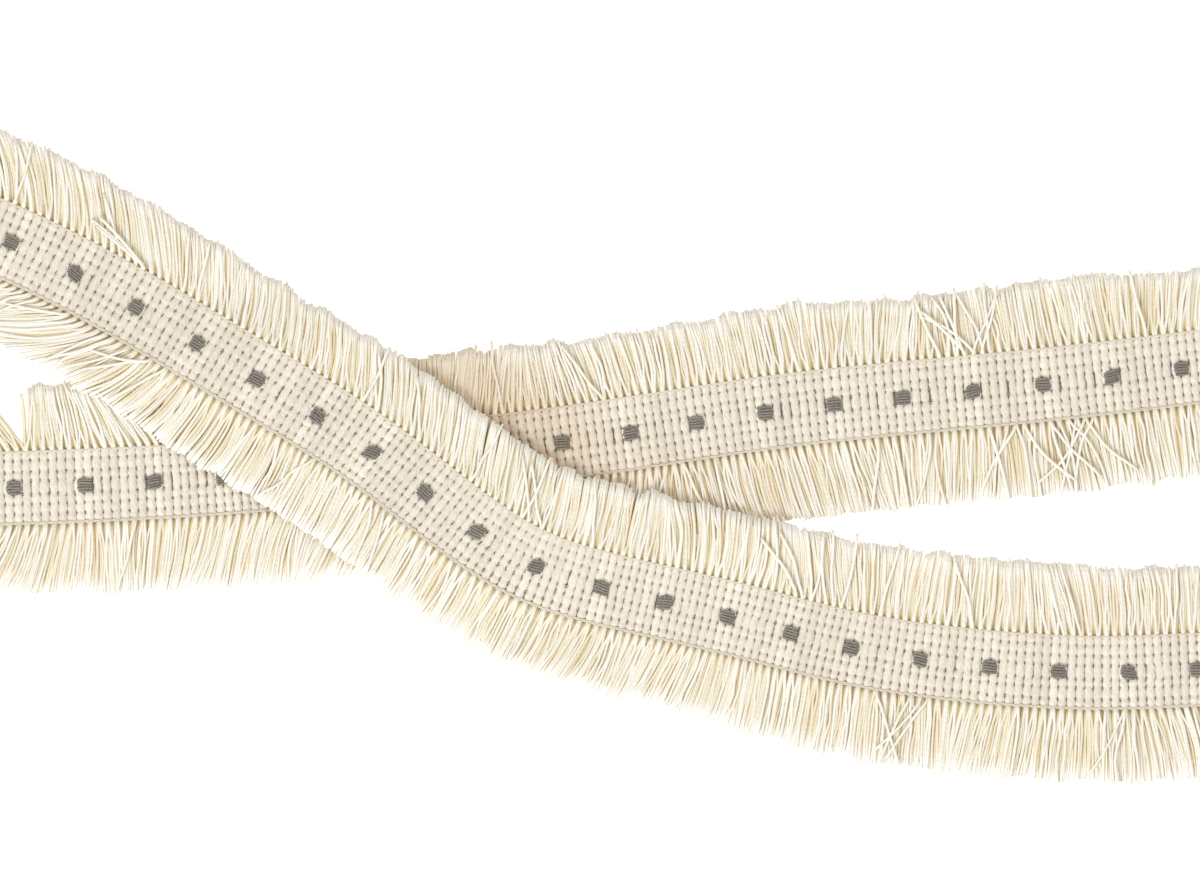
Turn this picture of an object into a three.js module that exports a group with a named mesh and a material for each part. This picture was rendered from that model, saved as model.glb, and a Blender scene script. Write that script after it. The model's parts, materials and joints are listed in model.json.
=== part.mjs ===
// Dot fringe trim: one cut length of woven tape with a brush fringe on both edges and a grey dot every few ribs.
// It lies on a flat surface, crosses over itself once and turns back at its right end.
// Millimetres, +Z up. The origin is under the middle of the part's box.
import * as THREE from 'three';

// Tape
const TAPE_WIDTH = 23;
const RIB_CREST = 1.5;
const RIB_VALLEY = 1.15;
const RIBS_PER_DOT = 8;
const RIBS_PAST_FIRST_DOT = 5;
const RIBS_PAST_LAST_DOT = 5;
const HALF_RIBS_PER_BACK_STEP = 4;

// Dots: a short float of yarn over two ribs, a little proud of them
const DOT_LENGTH = 5.1;
const DOT_WIDTH = 4;
const DOT_HEIGHT = 0.55;
const DOT_CORNER = 0.8;
const DOT_SHOULDER = 0.45;

// Fringe: a narrow strip along each edge of the tape, with locks fused to it at their roots
const GAP = 0.3;
const STRIP_WIDTH = 1.4;
const STRIP_THICKNESS = 1.5;
const LOCK_LENGTH = 19;

// The tips are cut a little uneven: two waves along the route, millimetres and radians for each millimetre
const TIP_WAVES = [
  { size: 0.5, rate: 0.61 },
  { size: 0.3, rate: 1.37 },
];

// Each lock's middle and tip: how far out of its root, its share of the lean, its width against its root's
// and its thickness
const LOCK_SECTIONS = [
  { out: 0.45, lean: 0.8, width: 0.84, thick: 2.0 },
  { out: 1.0, lean: 1.0, width: 0.68, thick: 1.1 },
];

// The upper stretch clears the lower one by this lift, which eases out past the lower one's fringe
const CROSSING_LIFT = 2.75;
const LIFT_REACH = 34;
const LIFT_EASE = 24;
const LOWER_LINE_PAST_TURN = 60;
const LOWER_LINE_STEP = 4;

// The tape's middle line: the upper stretch from its cut end, the turn as an arc, and the lower stretch to its end
const UPPER_STRETCH = [
  { x: -30.0, y: -58.4 },
  { x: -12.0, y: -66.1 },
  { x: 3.6, y: -72.9 },
  { x: 41.1, y: -92.4 },
  { x: 77.4, y: -114.0 },
  { x: 111.9, y: -135.9 },
  { x: 143.1, y: -159.6 },
  { x: 161.1, y: -170.1 },
  { x: 180.6, y: -176.4 },
  { x: 218.1, y: -185.1 },
  { x: 255.6, y: -194.4 },
  { x: 297.0, y: -200.1 },
  { x: 338.4, y: -201.7 },
  { x: 361.0, y: -200.8 },
];
const TURN = { x: 376, y: -154.8, radius: 45.4, reach: 82, knots: 8 };
const LOWER_STRETCH = [
  { x: 354.0, y: -110.7 },
  { x: 312.3, y: -115.5 },
  { x: 270.9, y: -119.4 },
  { x: 229.5, y: -123.9 },
  { x: 189.0, y: -130.0 },
  { x: 107.0, y: -139.9 },
  { x: 46.5, y: -144.6 },
  { x: 4.2, y: -146.4 },
  { x: -12.0, y: -146.8 },
  { x: -30.0, y: -147.0 },
];
const ROUTE_STEPS = 2400;
const BOX_MIDDLE = { x: 211.5, y: -136.4 };

// Dots along the middle line: the first one's distance from the route's start, then the spacing of each run
const FIRST_DOT_AT = 36.6;
const DOT_RUNS = [
  { dots: 5, pitch: 21.1 },
  { dots: 3, pitch: 19.7 },
  { dots: 2, pitch: 20.7 },
  { dots: 4, pitch: 19.3 },
  { dots: 5, pitch: 20.8 },
  { dots: 9, pitch: 20.15 },
  { dots: 6, pitch: 20.9 },
  { dots: 3, pitch: 20.4 },
  { dots: 6, pitch: 20.5 },
  { dots: 2, pitch: 21.2 },
];

// Degrees by which the locks of each edge lean along the route, at places along it. Minus is back to the start.
const LEAN = [
  { at: 0, left: -40, right: -65 },
  { at: 60, left: -40, right: -50 },
  { at: 80, left: -40, right: -34 },
  { at: 100, left: -40, right: -20 },
  { at: 130, left: -42, right: -5 },
  { at: 170, left: -46, right: 0 },
  { at: 205, left: -38, right: -3 },
  { at: 225, left: -22, right: -10 },
  { at: 260, left: -10, right: -15 },
  { at: 320, left: -5, right: -3 },
  { at: 424, left: -2, right: 0 },
  { at: 600, left: 0, right: -7 },
  { at: 720, left: -5, right: 8 },
  { at: 772, left: -18, right: 12 },
  { at: 800, left: -5, right: 0 },
  { at: 885, left: 24, right: 30 },
  { at: 922, left: 17, right: 10 },
  { at: 952, left: 14, right: 8 },
  { at: 985, left: 36, right: 38 },
];

// Each edge's fringe is made in these stretches, counted in locks
const FRINGE_STRETCHES = [
  { name: 'upper_a', locks: 30 },
  { name: 'upper_b', locks: 30 },
  { name: 'turn_a', locks: 17 },
  { name: 'turn_b', locks: 17 },
  { name: 'lower', locks: 55 },
];
const EDGES = [
  { name: 'left', side: 1 },
  { name: 'right', side: -1 },
];

const TAPE_MATERIAL = new THREE.MeshStandardMaterial({ color: '#e4dacd', roughness: 0.9, metalness: 0 });
const FRINGE_MATERIAL = new THREE.MeshStandardMaterial({ color: '#efe3c8', roughness: 0.92, metalness: 0 });
const DOT_MATERIAL = new THREE.MeshStandardMaterial({ color: '#6d6967', roughness: 0.9, metalness: 0 });

// The natural cubic spline's bend (second derivative) at each knot, for values at the given stations
function bendsOf(stations, values) {
  const last = values.length - 1;
  const upper = new Array(last + 1).fill(0);
  const right = new Array(last + 1).fill(0);
  for (let i = 1; i < last; i += 1) {
    const before = stations[i] - stations[i - 1];
    const after = stations[i + 1] - stations[i];
    const kink = (values[i + 1] - values[i]) / after - (values[i] - values[i - 1]) / before;
    const pivot = 2 * (before + after) - before * upper[i - 1];
    upper[i] = after / pivot;
    right[i] = (6 * kink - before * right[i - 1]) / pivot;
  }
  const bends = new Array(last + 1).fill(0);
  for (let i = last - 1; i > 0; i -= 1) {
    bends[i] = right[i] - upper[i] * bends[i + 1];
  }
  return bends;
}

function splineValue(stations, values, bends, i, t) {
  const span = stations[i + 1] - stations[i];
  const a = (stations[i + 1] - t) / span;
  const b = 1 - a;
  const curve = ((a ** 3 - a) * bends[i] + (b ** 3 - b) * bends[i + 1]) * span * span / 6;
  return a * values[i] + b * values[i + 1] + curve;
}

// The turn's knots, from below its middle to above it
function turnKnots() {
  const knots = [];
  for (let i = 0; i < TURN.knots; i += 1) {
    const angle = THREE.MathUtils.degToRad(TURN.reach * (2 * i / (TURN.knots - 1) - 1));
    knots.push({ x: TURN.x + TURN.radius * Math.cos(angle), y: TURN.y + TURN.radius * Math.sin(angle) });
  }
  return knots;
}

// The route as close points with their distance along it
function walkRoute() {
  const knots = [...UPPER_STRETCH, ...turnKnots(), ...LOWER_STRETCH];
  const turnKnot = UPPER_STRETCH.length + TURN.knots / 2;
  const xs = knots.map((knot) => knot.x - BOX_MIDDLE.x);
  const ys = knots.map((knot) => knot.y - BOX_MIDDLE.y);
  const stations = [0];
  for (let i = 1; i < knots.length; i += 1) {
    stations.push(stations[i - 1] + Math.hypot(xs[i] - xs[i - 1], ys[i] - ys[i - 1]));
  }
  const xBends = bendsOf(stations, xs);
  const yBends = bendsOf(stations, ys);
  const end = stations[stations.length - 1];
  const points = [];
  let knot = 0;
  let along = 0;
  let turnAt = 0;
  for (let step = 0; step <= ROUTE_STEPS; step += 1) {
    const t = end * step / ROUTE_STEPS;
    while (knot < knots.length - 2 && t > stations[knot + 1]) {
      knot += 1;
    }
    const x = splineValue(stations, xs, xBends, knot, t);
    const y = splineValue(stations, ys, yBends, knot, t);
    if (step > 0) {
      const previous = points[step - 1];
      along += Math.hypot(x - previous.x, y - previous.y);
    }
    if (t <= stations[turnKnot]) {
      turnAt = along;
    }
    points.push({ x, y, along });
  }
  return { points, turnAt };
}

const route = walkRoute();

// Place and heading on the middle line at a distance along it
function placeAt(along) {
  const { points } = route;
  let low = 0;
  let high = points.length - 1;
  while (high - low > 1) {
    const middle = (low + high) >> 1;
    if (points[middle].along <= along) {
      low = middle;
    } else {
      high = middle;
    }
  }
  const a = points[low];
  const b = points[high];
  const share = (along - a.along) / (b.along - a.along);
  const before = points[Math.max(low - 1, 0)];
  const after = points[Math.min(high + 1, points.length - 1)];
  const backward = { x: b.x - before.x, y: b.y - before.y };
  const forward = { x: after.x - a.x, y: after.y - a.y };
  const dx = backward.x * (1 - share) + forward.x * share;
  const dy = backward.y * (1 - share) + forward.y * share;
  const size = Math.hypot(dx, dy);
  return { x: a.x + (b.x - a.x) * share, y: a.y + (b.y - a.y) * share, dx: dx / size, dy: dy / size };
}

// The point on the plan at a distance along the route and a distance to its left
function planPoint(along, left) {
  const place = placeAt(along);
  return { x: place.x - place.dy * left, y: place.y + place.dx * left };
}

// Points along the lower stretch's middle line
const lowerLine = route.points.filter((point, i) => {
  const onLower = point.along > route.turnAt + LOWER_LINE_PAST_TURN;
  return onLower && i % LOWER_LINE_STEP === 0;
});

// How far the upper stretch is lifted at a distance along the route and a distance to its left
function lift(along, left) {
  if (along > route.turnAt) {
    return 0;
  }
  const point = planPoint(along, left);
  let nearest = Infinity;
  for (const other of lowerLine) {
    nearest = Math.min(nearest, Math.hypot(point.x - other.x, point.y - other.y));
  }
  const past = Math.min(Math.max((nearest - LIFT_REACH) / LIFT_EASE, 0), 1);
  return CROSSING_LIFT * (1 - past * past * (3 - 2 * past));
}

// The lift of a point on the tape, straight from its middle to its edge
function tapeLift(along, left) {
  const share = Math.abs(left) / (TAPE_WIDTH / 2);
  const edge = Math.sign(left) * TAPE_WIDTH / 2;
  return lift(along, 0) * (1 - share) + lift(along, edge) * share;
}

// A mesh's corners and triangles while it is being made
class Body {
  constructor() {
    this.corners = [];
    this.triangles = [];
  }

  corner(along, left, height) {
    const point = planPoint(along, left);
    this.corners.push(point.x, point.y, height);
    return this.corners.length / 3 - 1;
  }

  triangle(a, b, c) {
    this.triangles.push(a, b, c);
  }

  quad(a, b, c, d) {
    this.triangles.push(a, b, c, a, c, d);
  }

  mesh(name, material, turnedOver = false) {
    if (turnedOver) {
      for (let i = 0; i < this.triangles.length; i += 3) {
        const swap = this.triangles[i + 1];
        this.triangles[i + 1] = this.triangles[i + 2];
        this.triangles[i + 2] = swap;
      }
    }
    const geometry = new THREE.BufferGeometry();
    geometry.setAttribute('position', new THREE.Float32BufferAttribute(this.corners, 3));
    geometry.setIndex(this.triangles);
    geometry.computeVertexNormals();
    const mesh = new THREE.Mesh(geometry, material);
    mesh.name = name;
    return mesh;
  }
}

function dotPlaces() {
  const places = [FIRST_DOT_AT];
  for (const run of DOT_RUNS) {
    for (let i = 0; i < run.dots; i += 1) {
      places.push(places[places.length - 1] + run.pitch);
    }
  }
  return places;
}

const DOTS = dotPlaces();

// Where a rib's edge lies along the route. Rib edge 0 is at the first dot's middle.
function ribEdge(rib) {
  const dot = Math.min(Math.max(Math.floor(rib / RIBS_PER_DOT), 0), DOTS.length - 2);
  const pitch = (DOTS[dot + 1] - DOTS[dot]) / RIBS_PER_DOT;
  return DOTS[dot] + (rib - dot * RIBS_PER_DOT) * pitch;
}

const FIRST_RIB = -RIBS_PAST_FIRST_DOT;
const LAST_RIB = (DOTS.length - 1) * RIBS_PER_DOT + RIBS_PAST_LAST_DOT;
const TAPE_START = ribEdge(FIRST_RIB);
const TAPE_END = ribEdge(LAST_RIB);

// The tape: a ribbed face on top and a plain back, stepped less often
function makeTape() {
  const body = new Body();
  const across = [-TAPE_WIDTH / 2, 0, TAPE_WIDTH / 2];
  const steps = (LAST_RIB - FIRST_RIB) * 2;
  const face = [];
  const back = [];
  for (let step = 0; step <= steps; step += 1) {
    const along = ribEdge(FIRST_RIB + step / 2);
    const height = step % 2 === 0 ? RIB_VALLEY : RIB_CREST;
    face.push(across.map((left) => body.corner(along, left, tapeLift(along, left) + height)));
    if (step % HALF_RIBS_PER_BACK_STEP === 0) {
      back.push(across.map((left) => body.corner(along, left, tapeLift(along, left))));
    }
  }
  for (let step = 0; step < steps; step += 1) {
    for (let i = 0; i < 2; i += 1) {
      body.quad(face[step][i], face[step + 1][i], face[step + 1][i + 1], face[step][i + 1]);
    }
  }
  for (let step = 0; step < back.length - 1; step += 1) {
    for (let i = 0; i < 2; i += 1) {
      body.quad(back[step][i], back[step][i + 1], back[step + 1][i + 1], back[step + 1][i]);
    }
    const first = step * HALF_RIBS_PER_BACK_STEP;
    const middle = first + HALF_RIBS_PER_BACK_STEP / 2;
    for (let i = 0; i < HALF_RIBS_PER_BACK_STEP; i += 1) {
      const foot = back[step + (first + i < middle ? 0 : 1)];
      body.triangle(foot[0], face[first + i + 1][0], face[first + i][0]);
      body.triangle(foot[2], face[first + i][2], face[first + i + 1][2]);
    }
    body.triangle(back[step][0], back[step + 1][0], face[middle][0]);
    body.triangle(back[step][2], face[middle][2], back[step + 1][2]);
  }
  for (let i = 0; i < 2; i += 1) {
    const end = back.length - 1;
    body.quad(back[0][i], face[0][i], face[0][i + 1], back[0][i + 1]);
    body.quad(back[end][i], back[end][i + 1], face[steps][i + 1], face[steps][i]);
  }
  return body.mesh('tape', TAPE_MATERIAL);
}

// The lean in degrees at a place along the route, on one edge
function leanAt(along, edge) {
  let row = 0;
  while (row < LEAN.length - 2 && along > LEAN[row + 1].at) {
    row += 1;
  }
  const a = LEAN[row];
  const b = LEAN[row + 1];
  const share = (along - a.at) / (b.at - a.at);
  return a[edge] + (b[edge] - a[edge]) * share;
}

function tipTrim(along) {
  return TIP_WAVES.reduce((sum, wave) => sum + wave.size * Math.sin(along * wave.rate), 0);
}

// One stretch of one edge's fringe: the strip and its locks, each lock a tapered bar that starts at the strip
function makeFringe(name, edge, start, end, locks) {
  const body = new Body();
  const inner = edge.side * (TAPE_WIDTH / 2 + GAP);
  const outer = inner + edge.side * STRIP_WIDTH;
  const stations = [];
  for (let i = 0; i <= locks; i += 1) {
    const along = start + (end - start) * i / locks;
    const innerLift = lift(along, inner);
    const outerLift = lift(along, outer);
    stations.push({
      along,
      innerBack: body.corner(along, inner, innerLift),
      innerFace: body.corner(along, inner, innerLift + STRIP_THICKNESS),
      outerFace: body.corner(along, outer, outerLift + STRIP_THICKNESS),
      outerBack: body.corner(along, outer, outerLift),
    });
  }
  for (let i = 0; i < locks; i += 1) {
    const a = stations[i];
    const b = stations[i + 1];
    body.quad(a.innerFace, b.innerFace, b.outerFace, a.outerFace);
    body.quad(a.innerBack, a.outerBack, b.outerBack, b.innerBack);
    body.quad(a.innerBack, b.innerBack, b.innerFace, a.innerFace);
    const middle = (a.along + b.along) / 2;
    const half = (b.along - a.along) / 2;
    const length = LOCK_LENGTH + tipTrim(middle);
    let ring = [a.outerBack, b.outerBack, b.outerFace, a.outerFace];
    const lean = THREE.MathUtils.degToRad(leanAt(middle, edge.name));
    for (const section of LOCK_SECTIONS) {
      const out = length * section.out;
      const left = outer + edge.side * out * Math.cos(lean * section.lean);
      const from = middle + out * Math.sin(lean * section.lean) - half * section.width;
      const to = from + 2 * half * section.width;
      const next = [
        body.corner(from, left, lift(from, left)),
        body.corner(to, left, lift(to, left)),
        body.corner(to, left, lift(to, left) + section.thick),
        body.corner(from, left, lift(from, left) + section.thick),
      ];
      for (let side = 0; side < 4; side += 1) {
        const other = (side + 1) % 4;
        body.quad(ring[side], next[side], next[other], ring[other]);
      }
      ring = next;
    }
    body.quad(ring[0], ring[3], ring[2], ring[1]);
  }
  const first = stations[0];
  const last = stations[locks];
  body.quad(first.innerBack, first.innerFace, first.outerFace, first.outerBack);
  body.quad(last.innerBack, last.outerBack, last.outerFace, last.innerFace);
  return body.mesh(name, FRINGE_MATERIAL, edge.side < 0);
}

// One dot: a low pillow with cut corners, just clear of the ribs
function makeDot(name, along) {
  const body = new Body();
  const foot = RIB_CREST + GAP;
  const loop = (inset, height) => {
    const a = DOT_LENGTH / 2 - inset;
    const b = DOT_WIDTH / 2 - inset;
    const c = DOT_CORNER * (1 - inset / DOT_WIDTH);
    const rightHalf = [[a - c, -b], [a, c - b], [a, b - c], [a - c, b]];
    const outline = [...rightHalf, ...rightHalf.map(([s, v]) => [-s, -v])];
    return outline.map(([s, v]) => body.corner(along + s, v, tapeLift(along + s, v) + height));
  };
  const low = loop(0, foot);
  const high = loop(DOT_SHOULDER, foot + DOT_HEIGHT);
  for (let i = 0; i < low.length; i += 1) {
    const next = (i + 1) % low.length;
    body.quad(low[i], low[next], high[next], high[i]);
  }
  for (let i = 1; i < low.length - 1; i += 1) {
    body.triangle(low[0], low[i + 1], low[i]);
    body.triangle(high[0], high[i], high[i + 1]);
  }
  return body.mesh(name, DOT_MATERIAL);
}

const trim = new THREE.Group();
trim.name = 'dot_fringe_trim';
trim.add(makeTape());

const lockCount = FRINGE_STRETCHES.reduce((sum, stretch) => sum + stretch.locks, 0);
const lockPitch = (TAPE_END - TAPE_START) / lockCount;
for (const edge of EDGES) {
  let locksBefore = 0;
  for (const stretch of FRINGE_STRETCHES) {
    const start = TAPE_START + locksBefore * lockPitch + GAP / 2;
    locksBefore += stretch.locks;
    const end = TAPE_START + locksBefore * lockPitch - GAP / 2;
    trim.add(makeFringe(`fringe_${edge.name}_${stretch.name}`, edge, start, end, stretch.locks));
  }
}

DOTS.forEach((along, i) => {
  trim.add(makeDot(`dot_${String(i + 1).padStart(2, '0')}`, along));
});

export default trim;
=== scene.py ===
"""Dot fringe trim: a ribbed cotton tape with grey woven dots and a cut brush fringe on both edges.

It lies on a flat ground and crosses over itself once. Its yarns are modelled one by one: the ribs of the
tape, the binder threads over them, the twisted cord at each edge, the dots' floats, the grey yarns under
the dotted row and the fringe's strands. Sizes are in metres, and +Z is up.
"""

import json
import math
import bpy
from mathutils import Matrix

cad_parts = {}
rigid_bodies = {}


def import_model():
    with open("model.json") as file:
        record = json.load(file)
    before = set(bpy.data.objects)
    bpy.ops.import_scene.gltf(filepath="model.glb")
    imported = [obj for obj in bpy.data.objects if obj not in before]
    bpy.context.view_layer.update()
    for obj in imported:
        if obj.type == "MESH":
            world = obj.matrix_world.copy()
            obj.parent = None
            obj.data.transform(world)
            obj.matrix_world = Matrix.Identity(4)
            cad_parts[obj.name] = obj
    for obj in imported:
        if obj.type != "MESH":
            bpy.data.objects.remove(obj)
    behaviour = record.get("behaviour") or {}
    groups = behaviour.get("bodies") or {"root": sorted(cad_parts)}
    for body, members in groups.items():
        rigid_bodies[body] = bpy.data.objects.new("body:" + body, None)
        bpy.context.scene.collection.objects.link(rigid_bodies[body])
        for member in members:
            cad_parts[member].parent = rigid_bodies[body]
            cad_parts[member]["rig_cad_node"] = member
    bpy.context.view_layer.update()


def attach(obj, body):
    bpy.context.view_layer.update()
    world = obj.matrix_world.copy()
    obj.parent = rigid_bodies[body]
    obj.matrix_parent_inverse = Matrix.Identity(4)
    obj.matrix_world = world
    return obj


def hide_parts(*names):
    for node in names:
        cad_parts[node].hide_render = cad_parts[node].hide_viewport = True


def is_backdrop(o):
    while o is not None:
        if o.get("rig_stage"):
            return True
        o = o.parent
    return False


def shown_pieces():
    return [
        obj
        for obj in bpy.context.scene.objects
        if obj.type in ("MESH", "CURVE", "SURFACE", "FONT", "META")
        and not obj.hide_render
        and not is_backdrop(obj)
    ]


bl_info = {
    "name": "Dot fringe trim",
    "version": (1, 0, 0),
    "blender": (4, 5, 0),
    "location": "3D View > Sidebar > Trim",
    "description": "Weaves a dotted tape with a brush fringe along a crossing route",
    "category": "Add Mesh",
}

import bpy
import numpy as np

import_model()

MM = 0.001

# The tape's middle line in millimetres: the upper stretch from its cut end, the turn as an arc, and the
# lower stretch to its end. It is the same line as the solid's.
UPPER_STRETCH = [
    (-30.0, -58.4), (-12.0, -66.1), (3.6, -72.9), (41.1, -92.4), (77.4, -114.0),
    (111.9, -135.9), (143.1, -159.6), (161.1, -170.1), (180.6, -176.4), (218.1, -185.1),
    (255.6, -194.4), (297.0, -200.1), (338.4, -201.7), (361.0, -200.8),
]
TURN_X = 376.0
TURN_Y = -154.8
TURN_RADIUS = 45.4
TURN_REACH = 82.0
TURN_KNOTS = 8
LOWER_STRETCH = [
    (354.0, -110.7), (312.3, -115.5), (270.9, -119.4), (229.5, -123.9), (189.0, -130.0),
    (107.0, -139.9), (46.5, -144.6), (4.2, -146.4), (-12.0, -146.8), (-30.0, -147.0),
]
BOX_MIDDLE = (211.5, -136.4)
ROUTE_STEPS = 2400

# The upper stretch's lift over the lower one
CROSSING_LIFT = 2.75 * MM
LIFT_REACH = 34 * MM
LIFT_EASE = 24 * MM

# Each stretch's own line: where it stops short of the turn's middle, and one route point in how many it has
LOWER_LINE_PAST_TURN = 60 * MM
UPPER_LINE_BEFORE_TURN = 58 * MM
LINE_STEP = 4
POINTS_AT_ONCE = 20000

# Where a painted shadow of the upper stretch falls on the lower one
PAINTED_SHADOW_START = 36 * MM
PAINTED_SHADOW_END = 58 * MM
PAINTED_SHADOW_HEIGHT = 2.45 * MM
PAINTED_SHADOW_TURN = 1.7

TAPE_WIDTH = 23 * MM
TAPE_HALF = TAPE_WIDTH / 2
RIBS_PER_DOT = 8
RIBS_PAST_FIRST_DOT = 5
RIBS_PAST_LAST_DOT = 5
FIRST_DOT_AT = 36.6 * MM

# Dots, then their pitch in millimetres
DOT_RUNS = [
    (5, 21.1), (3, 19.7), (2, 20.7), (4, 19.3), (5, 20.8),
    (9, 20.15), (6, 20.9), (3, 20.4), (6, 20.5), (2, 21.2),
]

# Where the binder threads cross the ribs, in millimetres from the middle line to its left
BINDER_LINES = [-10.7, -8.1, -4.62, -2.07, 2.07, 4.99, 8.08, 10.7]

# How the fringe of each edge lies, as seen in the photograph: millimetres along the route, the degrees by
# which the strands lean along the route at their roots and at their tips (minus is back to the start), and
# how far from the middle line the tips reach, in millimetres
LAY = {
    "left": [
        (0, -40, -50, 29.5), (50, -25, -40, 29.5), (80, -35, -40, 29.0), (120, -15, -25, 28.0),
        (160, -30, -35, 28.5), (200, -25, -25, 30.0), (230, 0, -10, 31.0), (250, 0, 0, 31.5),
        (262, -10, -20, 31.0), (286, 5, -10, 31.5), (310, -20, -25, 31.5), (335, 0, 5, 32.5),
        (370, 0, -5, 32.5), (382, -15, -15, 32.5), (405, 5, -5, 31.0), (440, 0, 0, 31.5),
        (590, 0, 0, 32.0), (640, -5, -5, 33.0), (680, 5, 10, 32.5), (700, -10, -10, 33.0),
        (750, -5, -10, 33.0), (775, 15, 20, 31.5), (800, 25, 30, 31.0), (860, 35, 30, 32.5),
        (870, 30, 10, 33.0), (900, 15, 20, 32.5), (930, 0, 0, 32.5), (955, 25, 30, 31.5),
        (985, 35, 40, 31.0),
    ],
    "right": [
        (0, -60, -70, 29.5), (60, -60, -65, 29.5), (70, -50, -65, 29.5), (82, -35, -40, 29.5),
        (95, -10, -25, 30.5), (110, 0, -10, 31.0), (150, 10, 5, 31.0), (200, 10, 5, 30.0),
        (225, -5, -5, 30.0), (240, -10, -25, 29.5), (250, -5, -10, 31.0), (265, -15, -20, 30.0),
        (290, 5, 0, 32.0), (345, 5, 5, 32.5), (360, -10, -10, 32.5), (395, 0, 0, 32.5),
        (415, 20, 5, 33.0), (440, 5, 0, 32.5), (590, -10, -10, 29.5), (605, -10, -15, 29.0),
        (630, 5, 5, 31.5), (665, 5, 5, 30.5), (690, -10, -15, 29.5), (715, 5, 5, 31.5),
        (760, 0, 5, 30.0), (785, 10, 15, 30.0), (810, -10, -15, 31.0), (845, -15, -5, 30.5),
        (900, 20, 30, 30.0), (912, 40, 45, 29.5), (935, 10, 15, 31.0), (953, 0, -5, 30.5),
        (954, 35, 40, 28.5), (985, 40, 50, 28.5),
    ],
}

# Places where strands stray over the others: edge, millimetres from and to along the route, how many of the
# upper strands do, from 0 to 1, the least and most degrees of their lean, and how many degrees they bend
STRAYS = [
    ("left", 72, 80, 0.7, -80, -64, 10), ("left", 86, 98, 0.25, -55, -15, 15),
    ("left", 300, 316, 0.4, -42, 24, 18), ("left", 322, 334, 0.25, -30, 20, 18),
    ("left", 632, 658, 0.4, -40, 40, 28), ("left", 672, 684, 0.25, -10, 34, 18),
    ("left", 742, 760, 0.2, -30, 20, 18), ("right", 44, 66, 0.3, -74, -48, 14),
    ("right", 66, 98, 0.4, -68, -20, 18), ("right", 336, 344, 0.5, -34, -18, 10),
    ("right", 350, 362, 0.15, -36, 20, 15), ("right", 400, 420, 0.3, -24, 34, 18),
    ("right", 660, 680, 0.45, -42, 44, 28), ("right", 766, 780, 0.25, -12, 34, 18),
]

# How many of those really stray
STRAY_THINNING = 0.7

# Elsewhere: the share that strays, and how far in degrees
STRAY_SHARE = 0.03
STRAY_LEAN = 13.0

# The fringe's solids: name and its share of the tape in locks
FRINGE_STRETCHES = [
    ("upper_a", 30), ("upper_b", 30), ("turn_a", 17), ("turn_b", 17), ("lower", 55),
]
EDGES = {"left": 1, "right": -1}

# The photograph's view: its size, how much real length one of its pixels shows, and the camera's height
PHOTO_WIDTH = 1200
PHOTO_HEIGHT = 889
PIXEL = 0.3 * MM
CAMERA_HEIGHT = 3.0
SENSOR_WIDTH = 36.0
CLIP_END = 20.0


class TrimSizes(bpy.types.PropertyGroup):
    """Sizes of the trim's yarns"""

    strand_thickness: bpy.props.FloatProperty(
        name="Strand thickness",
        description="Thickness of a fringe strand",
        default=1.0 * MM,
        unit="LENGTH",
    )
    upper_strands: bpy.props.IntProperty(
        name="Upper strands per rib",
        description="How many strands each rib lets out at each edge to lie on top of the rest",
        default=3,
        min=1,
    )
    bed_strands: bpy.props.IntProperty(
        name="Bed strands per rib",
        description="How many strands each rib lets out at each edge to lie under the upper ones",
        default=3,
        min=1,
    )
    rib_crest: bpy.props.FloatProperty(
        name="Rib crest",
        description="Height of the ribs over the surface that the tape lies on",
        default=1.5 * MM,
        unit="LENGTH",
    )
    binder_thickness: bpy.props.FloatProperty(
        name="Binder thickness",
        description="Thickness of the fine threads that bind the ribs",
        default=0.22 * MM,
        unit="LENGTH",
    )
    ply_thickness: bpy.props.FloatProperty(
        name="Ply thickness",
        description="Thickness of each ply of the twisted cord along the tape's edges",
        default=0.44 * MM,
        unit="LENGTH",
    )
    dot_length: bpy.props.FloatProperty(
        name="Dot length",
        description="Length of a dot along the tape",
        default=4.6 * MM,
        unit="LENGTH",
    )
    dot_yarns: bpy.props.IntProperty(
        name="Yarns in a dot",
        description="How many yarns float side by side in one dot",
        default=5,
        min=1,
    )


class TrimColours(bpy.types.PropertyGroup):
    """Colours of the trim's yarns"""

    strand: bpy.props.FloatVectorProperty(
        name="Strand",
        description="Cream cotton of the fringe",
        default=(0.882, 0.861, 0.808),
        subtype="COLOR",
    )
    rib: bpy.props.FloatVectorProperty(
        name="Rib",
        description="Pinkish beige cotton of the tape's ribs",
        default=(0.765, 0.7, 0.6),
        subtype="COLOR",
    )
    binder: bpy.props.FloatVectorProperty(
        name="Binder",
        description="Rosy beige thread that binds the ribs",
        default=(0.74, 0.66, 0.56),
        subtype="COLOR",
    )
    dot: bpy.props.FloatVectorProperty(
        name="Dot",
        description="Warm grey yarn of the dots",
        default=(0.262, 0.236, 0.202),
        subtype="COLOR",
    )


def sizes():
    return bpy.context.scene.trim_sizes


def colours():
    return bpy.context.scene.trim_colours


# The route


def spline(stations, values, at):
    """The natural cubic spline through the values at the stations, read at other places."""
    count = len(stations)
    span = np.diff(stations)
    system = np.eye(count)
    right = np.zeros(count)
    for i in range(1, count - 1):
        system[i, i - 1 : i + 2] = span[i - 1], 2 * (span[i - 1] + span[i]), span[i]
        right[i] = 6 * ((values[i + 1] - values[i]) / span[i] - (values[i] - values[i - 1]) / span[i - 1])
    bends = np.linalg.solve(system, right)
    i = np.clip(np.searchsorted(stations, at) - 1, 0, count - 2)
    a = (stations[i + 1] - at) / span[i]
    b = 1 - a
    curve = ((a**3 - a) * bends[i] + (b**3 - b) * bends[i + 1]) * span[i] ** 2 / 6
    return a * values[i] + b * values[i + 1] + curve


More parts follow.
